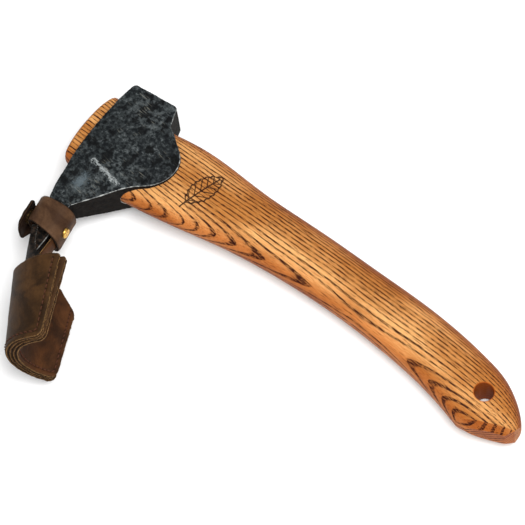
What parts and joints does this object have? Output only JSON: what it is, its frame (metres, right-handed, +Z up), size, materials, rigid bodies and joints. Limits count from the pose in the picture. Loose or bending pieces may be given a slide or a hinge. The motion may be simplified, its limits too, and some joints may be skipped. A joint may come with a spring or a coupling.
{
  "type": "carving adze",
  "caption": "Short-handled bowl-carving gouge adze with a wedged ash handle and a leather blade sheath whose strap end folds open, lying on its side.",
  "frame": {"origin": "on the floor, under the middle of the whole object's box", "axes": "+X along the handle to the butt, +Y towards the poll, +Z up; the tool lies on its side, resting on the poll's corner, the handle's back and the sheath's lower edge"},
  "size_m": [0.3168, 0.1764, 0.0726],
  "materials": {
    "wood": "oiled and lacquered ash, satin",
    "wedge_wood": "hardwood end grain",
    "forged_steel": "blackened forging scale, worn bright on the edges",
    "bare_steel": "plain",
    "sheath_leather": "oiled pull-up leather, raw edges",
    "welt_leather": "raw-edged veg-tanned leather",
    "strap_leather": "oiled leather, smooth side out",
    "thread": "waxed linen thread",
    "brass": "polished"
  },
  "bodies": {
    "tool": {"handle": "wood", "adze_head": "forged_steel", "eye_wedge": "wedge_wood", "ring_wedge": "bare_steel", "sheath_outer_panel": "sheath_leather", "sheath_outer_welt": "welt_leather", "sheath_inner_welt": "welt_leather", "sheath_inner_panel": "sheath_leather", "sheath_stitching": "thread", "strap_band": "strap_leather", "snap_stud": "brass", "snap_post": "brass", "rivet_cap": "brass", "rivet_post": "brass"},
    "strap_end": {"strap_flap": "strap_leather", "snap_cap": "brass", "snap_socket": "brass"}
  },
  "joints": [
    {"name": "strap_fold", "type": "hinge", "parent": "tool", "child": "strap_end", "pos_m": [-0.14168, -0.01745, 0.02116], "axis": [0.2446, -0.9539, 0.1738], "range_deg": [0, 90]}
  ]
}
